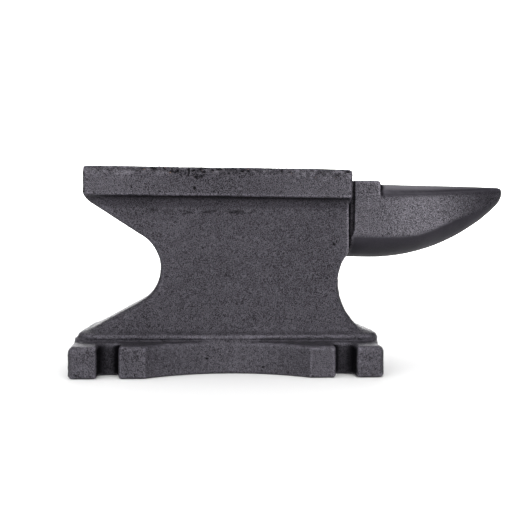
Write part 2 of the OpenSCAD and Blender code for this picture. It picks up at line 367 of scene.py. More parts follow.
def anvil_field(x, y, z):
    """Distance to the surface of the whole casting, negative in the iron."""
    neck, ridge = plinth_field(x, y, z)
    foot = round_min(round_min(base_field(x, y, z), neck, NECK_FILLET), ridge, RIDGE_FILLET)
    body = round_min(face_field(x, y, z), body_field(x, y, z), FACE_FILLET)
    slope_start_x = HEEL_HOLLOW_X - HEEL_HOLLOW_R * (1 - math.sin(HEEL_SLOPE))
    heel_end = heel_end_field(x, z, heel_hollow(x, z)[1])
    body = np.maximum(body, np.where((z > HEEL_HOLLOW_Z) & (x < slope_start_x), heel_end, -FAR))
    end_face = np.where(z > HORN_HOLLOW_Z, x - FACE_HIGH[0] - FACE_END_OUT, -FAR)
    body = np.maximum(body, end_face)
    horn = round_min(horn_field(x, y, z), table_field(x, y, z), TABLE_FILLET)
    horn = round_max(horn, -groove_field(x, y, z), GROOVE_EDGE_R)
    body = round_min(body, horn, HORN_FILLET)
    foot_fillet = FOOT_FILLET + FOOT_FILLET_GAIN * smooth_step(BODY_END_X, BODY_END_X + FOOT_FILLET_REACH, x)
    anvil = round_min(foot, body, foot_fillet)
    hardy = rounded_rect(x - HARDY_X, y, HARDY_HALF, HARDY_HALF, HARDY_CORNER_R)
    pritchel = np.hypot(x - PRITCHEL_X, y - PRITCHEL_Y) - PRITCHEL_R
    holes = np.where(z > HEEL_LOW[2] - HOLE_SINK, np.minimum(hardy, pritchel), FAR)
    return round_max(anvil, -holes, HOLE_EDGE_R)


NARROW_BAND = 4


def casting_surface():
    """Quads round the zero level of anvil_field: points in millimetres and corner numbers."""
    low = np.array(cad_box[0]) / MM - MARGIN
    high = np.array(cad_box[1]) / MM + MARGIN
    axes = [np.arange(a, b, VOXEL, dtype=np.float32) for a, b in zip(low, high, strict=True)]
    field = np.broadcast_to(anvil_field(*np.ix_(*axes)), [len(a) for a in axes])
    band = NARROW_BAND * VOXEL
    grid = openvdb.FloatGrid(band)
    grid.copyFromArray(np.ascontiguousarray(np.clip(field, -band, band), dtype=np.float32))
    corners, quads = grid.convertToQuads(0.0)
    return (corners * VOXEL + low).astype(np.float64), quads


# ---------------------------------------------------------------- the cast skin

LATTICE_SIZE = 61


def lattice_noise(points, period, seed):
    """Smooth seeded noise at each point, with the given period in millimetres."""
    size = LATTICE_SIZE
    rng = np.random.default_rng(seed)
    values = rng.standard_normal((size, size, size))
    turn, _ = np.linalg.qr(rng.standard_normal((3, 3)))
    p = points @ turn / period
    cell = np.floor(p).astype(np.int64)
    t = p - cell
    t = t * t * (3 - 2 * t)
    total = 0
    for corner in np.ndindex(2, 2, 2):
        weight = np.prod(np.where(corner, t, 1 - t), axis=1)
        i, j, k = ((cell + corner) % size).T
        total = total + weight * values[i, j, k]
    return total


def layers(points, recipe):
    """A sum of noises, each given by its period in millimetres, its seed and its depth."""
    return sum(depth * lattice_noise(points, period, seed) for period, seed, depth in recipe)


def mesh_of(name, points, corners, starts):
    """A mesh from its points, the point at each face corner, and the first corner of each face."""
    mesh = bpy.data.meshes.new(name)
    mesh.vertices.add(len(points))
    mesh.vertices.foreach_set("co", np.ascontiguousarray(points, dtype=np.float32).ravel())
    mesh.loops.add(len(corners))
    mesh.loops.foreach_set("vertex_index", np.ascontiguousarray(corners, dtype=np.int32))
    mesh.polygons.add(len(starts))
    mesh.polygons.foreach_set("loop_start", np.ascontiguousarray(starts, dtype=np.int32))
    mesh.update(calc_edges=True)
    return mesh


def read(items, name, width=1, kind=np.float32):
    """One property of all items as an array."""
    values = np.zeros(len(items) * width, dtype=kind)
    items.foreach_get(name, values)
    return values.reshape(-1, width) if width > 1 else values


HORN_SKIN_FROM, HORN_SKIN_TO = BODY_END_X + 2.5, BODY_END_X + 4.5
BELLY_SOFT_LOW, BELLY_SOFT_HIGH = 2.9, 0.5
CROWN_SHARE = 1.15
CROWN_SOFT_LOW, CROWN_SOFT_HIGH = 0.6, 1.6
BAND_WANDER = 1.6
BAND_SOFT_LOW, BAND_SOFT_HIGH = 3.2, 0.6
WORKING_LOW_Z = TABLE_HIGH[2] - 3


def find_zones(points, normals):
    """Where each point lies on the casting, as shares from 0 to 1, and the height of the horn's crown."""
    x, _, z = points.T
    in_horn = smooth_step(HORN_SKIN_FROM, HORN_SKIN_TO, x) * (z > HORN_HOLLOW_Z)
    half_w, _, low = horn_shape(np.maximum(x, BODY_END_X))
    belly_line = low + belly_depth(x, half_w)
    belly = 1 - smooth_step(belly_line - BELLY_SOFT_LOW, belly_line + BELLY_SOFT_HIGH, z)
    crown_line = HORN_HIGH[2] - CROWN_SHARE * EDGE_SHARE * half_w
    crown = smooth_step(crown_line - CROWN_SOFT_LOW, crown_line + CROWN_SOFT_HIGH, z) * (x > TABLE_HIGH[0])
    on_face = smooth_step(FACE_LOW[2] - 1.0, FACE_LOW[2] + 1.0, z) * (1 - in_horn)
    band_z = z + BAND_WANDER * lattice_noise(points, period=6.0, seed=11)
    bevel_z = FACE_HIGH[2] - BEVEL_H
    return SimpleNamespace(
        in_horn=in_horn, belly=belly, crown=crown, crown_line=crown_line, on_face=on_face,
        dressed=in_horn * np.maximum(belly, crown),
        under=smooth_step(0.15, 0.7, -normals[:, 2]),
        top_band=on_face * smooth_step(bevel_z - BAND_SOFT_LOW, bevel_z + BAND_SOFT_HIGH, band_z),
        working=smooth_step(0.85, 0.97, normals[:, 2]) * (z > WORKING_LOW_Z),
        beside_crown=smooth_step(crown_line, crown_line + 1.0, z))


PITTED_PATCHES = ((19.0, 5, 1.0), (8.0, 6, 0.6))
PATCH_LESS, PATCH_FADE = 0.05, 0.004
PIT_PERIOD, PIT_LESS, PIT_MOST = 1.25, 0.2, 1.2
LONE_PIT_PERIOD, LONE_PIT_LESS, LONE_PIT_MOST = 2.1, 2.15, 0.5
BROKEN_EDGE = ((3.7, 9, 0.10), (1.3, 10, 0.19))
CREASE_BELOW_FACE = 7.9
CREASE_HALF_W = 0.85
CREASE_START, CREASE_STOP = (-60, -40), (5, 35)
CREASE_WANDER_PERIOD, CREASE_BREAK_PERIOD = 6.5, 3.6
SMOOTH_FROM, SMOOTH_TO = 0.5, 0.8


def blemishes(points, zone):
    """Pits, lone pits, the broken top edge, and the crease under the face with the smooth fillet above it."""
    x, _, z = points.T
    patch = layers(points, PITTED_PATCHES) - PATCH_LESS - PATCH_FADE * x
    pits = np.clip(lattice_noise(points, PIT_PERIOD, seed=7) - PIT_LESS, 0, PIT_MOST)
    pits = pits * smooth_step(-0.4, 1.0, patch) * zone.top_band * (1 - 0.7 * zone.working)
    rough = (1 - 0.9 * zone.dressed) * (1 - 0.5 * zone.under) * (1 - 0.75 * zone.working)
    lone = np.clip(lattice_noise(points, LONE_PIT_PERIOD, seed=8) - LONE_PIT_LESS, 0, LONE_PIT_MOST) * rough
    broken = layers(points, BROKEN_EDGE) * zone.top_band * (1 - zone.working)
    crease_z = FACE_LOW[2] - CREASE_BELOW_FACE + lattice_noise(points, CREASE_WANDER_PERIOD, seed=12)
    crease = np.exp(-(((z - crease_z) / CREASE_HALF_W) ** 2)) * (1 - zone.under)
    crease = crease * smooth_step(*CREASE_START, x) * (1 - smooth_step(*CREASE_STOP, x))
    crease = crease * np.clip(0.45 + 1.1 * lattice_noise(points, CREASE_BREAK_PERIOD, seed=13), 0, 1)
    on_fillet = (1 - zone.on_face) * (x < BODY_END_X) * (x > HEEL_START)
    smooth_fillet = smooth_step(crease_z - SMOOTH_FROM, crease_z + SMOOTH_TO, z) * on_fillet
    return SimpleNamespace(
        pits=pits, lone=lone, broken=broken, crease=crease, rough=rough * (1 - 0.6 * smooth_fillet))


NEAR_ROOT_FROM, NEAR_ROOT_TO = HORN_RISE_X + 30, HORN_HIGH[0] - 12
CHEEK_GLOSS, CHEEK_GLOSS_GAIN, CHEEK_GAIN_L = 0.95, 1.15, 22
CHEEK_LESS, BELLY_LESS, BELLY_ROOT_GAIN, TIP_LESS = 0.2, 0.95, 0.3, 0.35
CROWN_GLOSS, CROWN_LIGHT, CROWN_LIGHT_FROM, CROWN_LIGHT_TO = 0.25, 0.45, 2.6, 4.4
SHOULDER_LESS, SHOULDER_BRIGHT_LESS, SHOULDER_UP, SHOULDER_HALF_W = 0.75, 0.3, 1.6, 2.1


def horn_gloss(x, z, zone):
    """What the horn adds to the shine, as painted highlight and painted shade: cheeks that are bright near the root,
    a dull belly, a bright line along the crown.
    """
    past_table = x > TABLE_HIGH[0]
    cheek = zone.in_horn * (1 - zone.belly) * (1 - zone.crown)
    near_root = 1 - smooth_step(NEAR_ROOT_FROM, NEAR_ROOT_TO, x)
    bright = CHEEK_GLOSS + CHEEK_GLOSS_GAIN * smooth_step(HORN_RISE_X, HORN_RISE_X + CHEEK_GAIN_L, x)
    bright = near_root * bright
    light = smooth_step(zone.crown_line + CROWN_LIGHT_FROM, zone.crown_line + CROWN_LIGHT_TO, z)
    light = light * zone.in_horn * past_table
    shoulder = np.exp(-(((z - zone.crown_line - SHOULDER_UP) / SHOULDER_HALF_W) ** 2)) * zone.in_horn * past_table
    added = cheek * (bright - CHEEK_LESS) + CROWN_GLOSS * zone.in_horn * zone.crown + CROWN_LIGHT * light
    added = added - zone.in_horn * zone.belly * (BELLY_LESS - BELLY_ROOT_GAIN * near_root)
    added = added - shoulder * (SHOULDER_LESS + SHOULDER_BRIGHT_LESS * bright)
    return added - TIP_LESS * zone.in_horn * (1 - near_root)


PLAIN_GLOSS, LEAST_GLOSS = 1.05, 0.25
FACE_GLOSS_HEEL, FACE_GLOSS_HORN = 0.34, 0.5
FACE_GLOSS_FROM, FACE_GLOSS_TO = 15, 60
DECK_GLOSS, DECK_UP_GLOSS = 0.1, 0.25
STEP_EDGE_LIGHT, BODY_EDGE_LIGHT = 0.9, 1.2
BROKEN_LIGHT, BROKEN_LOW, BROKEN_HIGH = 2.9, -0.2, 0.35
HEEL_END_LESS = 0.6


def gloss_mask(points, normals, zone, broken):
    """How strongly each point shines: the plain casting, and the painted highlights and painted shade that each zone
    and edge adds or takes away.
    """
    x, _, z = points.T
    face = np.where(x < 0, FACE_GLOSS_HEEL, FACE_GLOSS_HORN) * zone.on_face
    face = face * smooth_step(FACE_GLOSS_FROM, FACE_GLOSS_TO, np.abs(x))
    deck = (DECK_GLOSS + DECK_UP_GLOSS * smooth_step(0.5, 0.9, normals[:, 2])) * (z < BASE_HIGH[2] + 1)
    step_edge = smooth_step(TABLE_HIGH[0] - 2.4, TABLE_HIGH[0] - 1.4, x) * (x < TABLE_HIGH[0] - 0.2)
    body_edge = smooth_step(BODY_END_X - 1.5, BODY_END_X - 0.7, x) * (x < BODY_END_X) * (np.abs(normals[:, 1]) > 0.4)
    body_edge = body_edge * (z < FACE_LOW[2] - 1) * (z > HORN_LOW[2])
    gloss = PLAIN_GLOSS + horn_gloss(x, z, zone) + face + deck
    gloss = gloss + STEP_EDGE_LIGHT * step_edge * zone.beside_crown + BODY_EDGE_LIGHT * body_edge
    gloss = gloss + BROKEN_LIGHT * np.clip(broken, BROKEN_LOW, BROKEN_HIGH)
    # Painted shade on the shine of the heel end's rounded edges.
    heel_end = smooth_step(0.45, 0.8, -normals[:, 0]) * zone.on_face
    return np.maximum(gloss, LEAST_GLOSS) * (1 - HEEL_END_LESS * heel_end)


GAP_REACHES = (1.5, 4.0, 12.0)
HOLLOW_GAIN, HOLLOW_LESS = 3.4, 0.2
LOW_SHARE, SLOT_SHARE = 0.25, 1.0
GROOVE_SHARE, GROOVE_SHARE_DROP = 1.9, 1.6
FAR_SHARE, NEAR_FACE_GAIN = 0.2, 0.8


def painted_hollow_shade(points, normals):
    """Painted shade in hollow places, from how closed in each point is: most in the slots, in the horn's groove and
    right under the face.
    """
    x, _, z = points.T
    # The nearer the casting around a point, the more painted shade: an occlusion estimate.
    gaps = [anvil_field(*(points + normals * reach).T) / reach for reach in GAP_REACHES]
    hollow = np.clip(HOLLOW_GAIN * (1 - np.mean(gaps, axis=0)) - HOLLOW_LESS, 0, 1)
    in_slot = (z < BASE_HIGH[2] - 0.8) & (np.abs(x) > SLOT_X - SLOT_W)
    in_groove = (x > BODY_END_X + 0.8) & (x < TABLE_HIGH[0] - 1)
    groove_share = GROOVE_SHARE - GROOVE_SHARE_DROP * smooth_step(BODY_END_X + 1.2, BODY_END_X + 3.0, x)
    near_face = FAR_SHARE + NEAR_FACE_GAIN * smooth_step(FACE_LOW[2] - 6.0, FACE_LOW[2] - 3.4, z)
    upper = z > HEEL_HOLLOW_Z
    elsewhere = np.where(upper, near_face, LOW_SHARE)
    return hollow * np.select([upper & in_groove, in_slot], [groove_share, SLOT_SHARE], elsewhere)


FACE_LINE_SHADOW, STEP_CORNER_SHADE, RIM_SHADE, WEDGE_SHADE = 0.36, 0.7, 0.4, 0.35


def painted_shade_mask(points, normals, zone):
    """How dark each point is painted: painted shade in hollows, a painted shadow line under the face, painted shade
    beside the table and on the rounded edges round the end faces.
    """
    x, _, z = points.T
    # A painted shadow line just under the face plate.
    face_line = smooth_step(FACE_LOW[2] - 3.0, FACE_LOW[2] - 1.5, z) * (z < FACE_LOW[2] + 0.6) * (x < BODY_END_X)
    table_end = TABLE_HIGH[0]
    # Painted shade in the corner just right of the cutting table.
    step_corner = (x > table_end - 0.2) * (1 - smooth_step(table_end + 0.6, table_end + 2.4, x))
    away = np.abs(normals[:, 0])
    upright = 1 - smooth_step(0.2, 0.45, np.abs(normals[:, 2]))
    foot_end = (z < BASE_HIGH[2]) & (np.abs(x) > SLOT_X + SLOT_W / 2 + 4)
    at_end = (zone.on_face > 0.5) & (x < 0) | foot_end
    not_flat = 1 - smooth_step(0.88, 0.97, away)
    # Painted shade on rounded end edges that face away from the lights, and on the face plate's heel-end corners.
    rim = smooth_step(0.5, 0.8, away) * not_flat * at_end * upright
    corner_rows = (z > FACE_HIGH[2] - 6) | (z < FACE_LOW[2] + 4)
    wedge = smooth_step(0.2, 0.5, -normals[:, 0]) * not_flat * (zone.on_face > 0.5) * corner_rows * upright
    painted_shade = painted_hollow_shade(points, normals) + FACE_LINE_SHADOW * face_line
    painted_shade = painted_shade + STEP_CORNER_SHADE * step_corner * zone.beside_crown + RIM_SHADE * rim + WEDGE_SHADE * wedge
    return np.clip(painted_shade, 0, 1)


SWELLS = ((17.0, 1, 0.09), (7.0, 2, 0.04))
GRAIN = ((2.6, 3, 0.02), (1.1, 4, 0.085))
PIT_DEPTH, LONE_PIT_DEPTH, CREASE_DEPTH = 0.7, 0.7, 0.5
RELIEF_GAIN, BROKEN_RELIEF = 5, 1.6
PIT_DARKENING, LONE_PIT_DARKENING, CREASE_DARKENING = 2.1, 3, 0.6
FACE_GRAIN, CHEEK_GRAIN, BASE_DRESSED = 0.35, 0.4, 0.2
SKY_REACH = 3.6


def skin(points, normals):
    """How far the cast skin stands out at each point, and the masks the paint uses."""
    z = points[:, 2]
    zone = find_zones(points, normals)
    marks = blemishes(points, zone)
    grain = layers(points, GRAIN)
    height = layers(points, SWELLS) + marks.rough * grain + marks.broken
    height = height - PIT_DEPTH * marks.pits - LONE_PIT_DEPTH * marks.lone - CREASE_DEPTH * marks.crease
    cheek = zone.in_horn * (1 - zone.belly) * (1 - zone.crown)
    on_base = (z < PLINTH_HIGH[2] + 1) * (1 - zone.in_horn)
    # The shelter mask is painted shade under overhangs: where the sky above is blocked, the shine is dimmed.
    skyward = normals + (0, 0, 1)
    sky_gap = anvil_field(*(points + skyward * SKY_REACH).T) / SKY_REACH
    relief = (marks.rough * grain + BROKEN_RELIEF * marks.broken) * RELIEF_GAIN
    dark_pits = PIT_DARKENING * marks.pits + LONE_PIT_DARKENING * marks.lone + CREASE_DARKENING * marks.crease
    return height, {
        "shelter": 1 - smooth_step(0.1, 0.9, sky_gap),
        "relief": np.clip(0.5 + relief, 0, 1),
        "gloss": gloss_mask(points, normals, zone, marks.broken),
        "pit": np.clip(dark_pits, 0, 1),
        "dressed": zone.dressed - FACE_GRAIN * zone.on_face - CHEEK_GRAIN * cheek + BASE_DRESSED * on_base,
        "top_band": zone.top_band * (1 - zone.working),
        "painted_shade": painted_shade_mask(points, normals, zone),
    }


BULGE_ROUNDS = 3
BULGE_GAIN = 3.5


def edge_bulge(points, normals, edges):
    """How convex the casting is at each point, from the neighbours of each point."""
    count = np.bincount(edges.ravel(), minlength=len(points))

    def around(values):
        total = np.bincount(edges[:, 0], values[edges[:, 1]], len(points))
        total += np.bincount(edges[:, 1], values[edges[:, 0]], len(points))
        return total / np.maximum(count, 1)

    middle = np.stack([around(points[:, k]) for k in range(3)], axis=1)
    bulge = np.einsum("ij,ij->i", points - middle, normals) / VOXEL**2
    for _ in range(BULGE_ROUNDS):
        bulge = 0.5 * bulge + 0.5 * around(bulge)
    return np.clip(bulge * BULGE_GAIN, -1, 1)


# ---------------------------------------------------------------- pieces of the casting

SKIN = 0.9
HORN_START_OUT = 1.2
BASE_TOP = BASE_HIGH[2] + SKIN
RIDGE = PLINTH_HIGH[2]
FACE_UNDER = FACE_LOW[2] + SKIN
FOOT_BACK = SLOT_BACK_Y + SKIN
HEEL_START = HEEL_HIGH[0]
HORN_START = FACE_HIGH[0] + HORN_START_OUT
TABLE_END = TABLE_HIGH[0] + SKIN
EDGE_OF_ALL = 999

PIECES = ["base_plate", "foot_heel_front", "foot_heel_back", "foot_horn_front", "foot_horn_back",
          "plinth", "waist", "heel", "face_plate", "cutting_table", "horn"]


def owner(middle):
    """Which piece each middle point belongs to, as a number in PIECES."""
    x, y, z = middle.T
    in_foot = (np.abs(y) > FOOT_BACK) & (np.abs(x) > SLOT_X)
    foot = 1 + (y > 0) + 2 * (x > 0)
    upper = np.select(
        [x < HORN_START, x < TABLE_END], [PIECES.index("face_plate"), PIECES.index("cutting_table")],
        PIECES.index("horn"))
    middle_part = np.select(
        [(x > HORN_START) & (z > HORN_HOLLOW_Z), (x < HEEL_START) & (z > HEEL_HOLLOW_Z)],
        [PIECES.index("horn"), PIECES.index("heel")], PIECES.index("waist"))
    return np.select(
        [(z < BASE_TOP) & in_foot, z < BASE_TOP, z < RIDGE, z < FACE_UNDER],
        [foot, 0, PIECES.index("plinth"), middle_part], upper)


def planes():
    """The cuts between pieces: axis, place, and a box that holds what is cut."""
    everywhere = (-EDGE_OF_ALL, EDGE_OF_ALL)
    heel_side, horn_side = (-EDGE_OF_ALL, -SLOT_X), (SLOT_X, EDGE_OF_ALL)
    in_base = (-EDGE_OF_ALL, BASE_TOP)
    return [
        (2, BASE_TOP, everywhere, everywhere),
        (2, RIDGE, everywhere, everywhere),
        (2, FACE_UNDER, everywhere, everywhere),
        (0, HORN_START, everywhere, (HORN_HOLLOW_Z, EDGE_OF_ALL)),
        (0, HEEL_START, everywhere, (HEEL_HOLLOW_Z, FACE_UNDER)),
        (0, TABLE_END, everywhere, (FACE_UNDER, EDGE_OF_ALL)),
        (1, FOOT_BACK, horn_side, in_base),
        (1, FOOT_BACK, heel_side, in_base),
        (1, -FOOT_BACK, horn_side, in_base),
        (1, -FOOT_BACK, heel_side, in_base),
    ]


CUT_REACH = 4
CUT_SNAP = 1e-4
ON_PLANE = 2e-3
CDT_SNAP = 1e-6
FLAT_BELOW = 0.4


def cut_mesh(mesh):
    """Splits the faces of the whole casting along the planes between pieces."""
    bm = bmesh.new()
    bm.from_mesh(mesh)
    for axis, at, x_range, z_range in planes():
        normal = Vector([float(k == axis) for k in range(3)])
        faces = []
        for face in bm.faces:
            co = face.verts[0].co
            if abs(co[axis] - at) < CUT_REACH * VOXEL:
                mid = face.calc_center_median()
                if x_range[0] < mid[0] < x_range[1] and z_range[0] < mid[2] < z_range[1]:
                    faces.append(face)
        edges = {e for f in faces for e in f.edges}
        verts = {v for f in faces for v in f.verts}
        bmesh.ops.bisect_plane(
            bm, geom=faces + list(edges) + list(verts), dist=CUT_SNAP, plane_co=normal * at, plane_no=normal)
    bm.to_mesh(mesh)
    bm.free()
    mesh.update()


def cap(points, links, axis):
    """Triangles that fill the flat outline made by links; its open ends are joined across y."""
    ends, count = np.unique(links, return_counts=True)
    loose = ends[count == 1]
    loose = sorted(loose, key=lambda i: (round(points[i][0], 2), round(points[i][2], 2), points[i][1]))
    links = np.vstack([links, np.array(loose, dtype=np.int64).reshape(-1, 2)])
    used, flat_links = np.unique(links, return_inverse=True)
    flat_links = flat_links.reshape(-1, 2)
    keep = [k for k in range(3) if k != axis]
    flat = points[used][:, keep]
    out = delaunay_2d_cdt([Vector(p) for p in flat], flat_links.tolist(), [], 0, CDT_SNAP)
    new_points, triangles, sources = out[0], out[2], out[3]
    place = [used[s[0]] if s else -1 for s in sources]
    coords = np.array([tuple(p) for p in new_points])
    triangles = np.array(triangles)
    middle = coords[triangles].mean(axis=1)
    a, b = flat[flat_links[:, 0]], flat[flat_links[:, 1]]
    inside = np.zeros(len(middle), dtype=bool)
    for pa, pb in zip(a, b, strict=True):
        crosses = (pa[1] > middle[:, 1]) != (pb[1] > middle[:, 1])
        if crosses.any():
            at = pa[0] + (middle[:, 1] - pa[1]) / (pb[1] - pa[1]) * (pb[0] - pa[0])
            inside ^= crosses & (middle[:, 0] < at)
    return np.array(place)[triangles[inside]]


def turned(points, triangles, axis, sign):
    """The triangles, each turned so that its normal points along the axis in the given direction."""
    a, b, c = (points[triangles[:, k]] for k in range(3))
    normal = np.cross(b - a, c - a)[:, axis]
    wrong = normal * sign < 0
    triangles = triangles.copy()
    triangles[wrong] = triangles[wrong][:, ::-1]
    return triangles


def skinned_mesh():
    """The whole casting as one mesh with its cast skin and its masks, cut along the planes between pieces."""
    points, quads = casting_surface()
    mesh = mesh_of("casting", points, quads.ravel(), np.arange(len(quads)) * quads.shape[1])
    normals = read(mesh.vertex_normals, "vector", 3)
    edges = read(mesh.edges, "vertices", 2, np.int32)
    # Convexity drives both edge wear and a painted edge highlight.
    wear_and_edge_light = edge_bulge(points, normals, edges)
    height, masks = skin(points, normals)
    masks["wear_and_edge_light"] = wear_and_edge_light
    moved = points + normals * height[:, None]
    moved[:, 2] = np.where(points[:, 2] < FLAT_BELOW, points[:, 2], moved[:, 2])
    mesh.vertices.foreach_set("co", moved.astype(np.float32).ravel())
    for name, values in masks.items():
        mesh.attributes.new(name, "FLOAT", "POINT").data.foreach_set("value", values.astype(np.float32))
    cut_mesh(mesh)
    return mesh, list(masks)


def joint_faces(points, edges, corner_edges, corner_face, owners, middle):
    """For each piece, the flat triangles that close it where it meets another piece."""
    order = np.argsort(corner_edges, kind="stable")
    first, second = order[0::2], order[1::2]
    assert (corner_edges[first] == corner_edges[second]).all()
    ends = edges[corner_edges[first]]
    end_points = points[ends]
    owner_a, owner_b = owners[corner_face[first]], owners[corner_face[second]]
    pair = np.sort(np.stack([owner_a, owner_b], axis=1), axis=1)
    mid_x = end_points[:, :, 0].mean(axis=1)
    faces = {k: [] for k in range(len(PIECES))}
    for axis, at, x_range, _ in planes():
        on_plane = (np.abs(end_points[:, :, axis] - at) < ON_PLANE).all(axis=1) & (owner_a != owner_b)
        on_plane &= (mid_x > x_range[0]) & (mid_x < x_range[1])
        for a, b in np.unique(pair[on_plane], axis=0):
            these = on_plane & (pair[:, 0] == a) & (pair[:, 1] == b)
            triangles = cap(points, ends[these], axis)
            sign = np.sign(middle[owners == b][:, axis].mean() - middle[owners == a][:, axis].mean())
            faces[a].append((turned(points, triangles, axis, sign), axis, sign))
            faces[b].append((turned(points, triangles, axis, -sign), axis, -sign))
    return faces


def add_piece(name, points, loops, counts, loop_normals, masks):
    """One closed piece of the casting, in place of its CAD node."""
    used, local = np.unique(loops, return_inverse=True)
    piece_mesh = mesh_of(name + "_skin", points[used] * MM, local, np.cumsum(counts) - counts)
    piece_mesh.polygons.foreach_set("use_smooth", np.ones(len(counts), dtype=bool))
    for mask, values in masks.items():
        layer = piece_mesh.attributes.new(mask, "FLOAT", "POINT")
        layer.data.foreach_set("value", values[used])
    piece_mesh.normals_split_custom_set(loop_normals)
    piece = bpy.data.objects.new(name + "_skin", piece_mesh)
    bpy.context.scene.collection.objects.link(piece)
    slot = next(p["material_slot"] for p in frame["record"]["subparts"] if p["node"] == name)
    piece_mesh.materials.append(MATERIALS[slot])
    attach(piece, "root")
    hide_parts(name)


def build_casting():
    """The whole casting as one closed skin, cut into closed pieces that share their joint faces."""
    mesh, mask_names = skinned_mesh()
    points = read(mesh.vertices, "co", 3).astype(np.float64)
    normals = read(mesh.vertex_normals, "vector", 3)
    masks = {name: read(mesh.attributes[name].data, "value") for name in mask_names}
    starts = read(mesh.polygons, "loop_start", 1, np.int32)
    sizes = read(mesh.polygons, "loop_total", 1, np.int32)
    corners = read(mesh.loops, "vertex_index", 1, np.int32)
    corner_edges = read(mesh.loops, "edge_index", 1, np.int32)
    edges = read(mesh.edges, "vertices", 2, np.int32)
    corner_face = np.repeat(np.arange(len(starts)), sizes)
    middle = np.stack([np.bincount(corner_face, points[corners, k]) / sizes for k in range(3)], axis=1)
    owners = owner(middle)
    joints = joint_faces(points, edges, corner_edges, corner_face, owners, middle)
    for number, name in enumerate(PIECES):
        loops = corners[owners[corner_face] == number]
        counts = sizes[owners == number]
        loop_normals = normals[loops]
        for triangles, axis, sign in joints[number]:
            loops = np.concatenate([loops, triangles.ravel()])
            counts = np.concatenate([counts, np.full(len(triangles), 3)])
            flat_normal = sign * np.eye(3)[axis]
            loop_normals = np.vstack([loop_normals, np.tile(flat_normal, (triangles.size, 1))])
        add_piece(name, points, loops, counts, loop_normals, masks)
    bpy.data.meshes.remove(mesh)


# ---------------------------------------------------------------- paint


class Tree:
    """Short ways to add nodes to a material."""

    def __init__(self, name):
        self.material = bpy.data.materials.new(name)
        self.material.use_nodes = True
        self.tree = self.material.node_tree
        self.tree.nodes.clear()

    def node(self, kind, sockets=None, **settings):
        """A node with its settings, its sockets given as values or as links."""
        node = self.tree.nodes.new(kind)
        for key, value in settings.items():
            setattr(node, key, value)
        for key, value in (sockets or {}).items():
            if isinstance(value, bpy.types.NodeSocket):
                self.tree.links.new(value, node.inputs[key])
            else:
                node.inputs[key].default_value = value
        return node

    def math(self, operation, *values, clamp=False):
        """One sum of values or links."""
        node = self.node("ShaderNodeMath", dict(enumerate(values)), operation=operation, use_clamp=clamp)
        return node.outputs[0]

    def mask(self, name):
        """The value of one mask of the skin."""
        return self.node("ShaderNodeAttribute", attribute_name=name).outputs["Fac"]

    def noise(self, scale, detail=2.0, rough=0.5):
        """Soft noise in the object's own metres."""
        where = self.node("ShaderNodeTexCoord").outputs["Object"]
        node = self.node("ShaderNodeTexNoise",
                         {"Vector": where, "Scale": scale, "Detail": detail, "Roughness": rough})
        return node.outputs["Fac"]

    def spread(self, value, low, high, to_low=0.0, to_high=1.0):
        """Maps low..high onto to_low..to_high and stops at both ends."""
        node = self.node("ShaderNodeMapRange", {
            "Value": value, "From Min": low, "From Max": high, "To Min": to_low, "To Max": to_high})
        return node.outputs["Result"]

    def blend(self, factor, a, b):
        """Colour a where the factor is 0, and b where it is 1."""
        node = self.node("ShaderNodeMix", data_type="RGBA")
        for socket, value in zip((node.inputs[0], node.inputs[6], node.inputs[7]), (factor, a, b)):
            if isinstance(value, bpy.types.NodeSocket):
                self.tree.links.new(value, socket)
            else:
                socket.default_value = value
        return node.outputs[2]

    def finish(self, sockets):
        """Ends the tree in one shader with the given sockets."""
        shader = self.node("ShaderNodeBsdfPrincipled", sockets)
        out = self.node("ShaderNodeOutputMaterial")
        self.tree.links.new(shader.outputs[0], out.inputs["Surface"])
        return self.material


PAINT = (0.0130, 0.0118, 0.0155)
PIT_DARK = (0.003, 0.003, 0.003, 1)
RUST = (0.20, 0.095, 0.03, 1)
SPECULAR_TINT = (0.93, 0.885, 1.0, 1)
DARK_TONE, LIGHT_TONE, WORN_AND_HIGHLIT_TONE, PAINTED_SHADE_TONE = 0.1, 2.0, 8.0, 0.15
SAND_SCALE, CLUMP_SCALE, FLECK_SCALE, BROAD_SCALE = 2100.0, 620.0, 420.0, 24.0
SAND_DEPTH, CLUMP_DEPTH, RELIEF_DEPTH = 0.82, 0.05, 0.12
BUMP_DISTANCE = 0.0008
IOR = 1.5


def tone(factor):
    """The paint's colour, made darker or lighter."""
    return (*(c * factor for c in PAINT), 1)


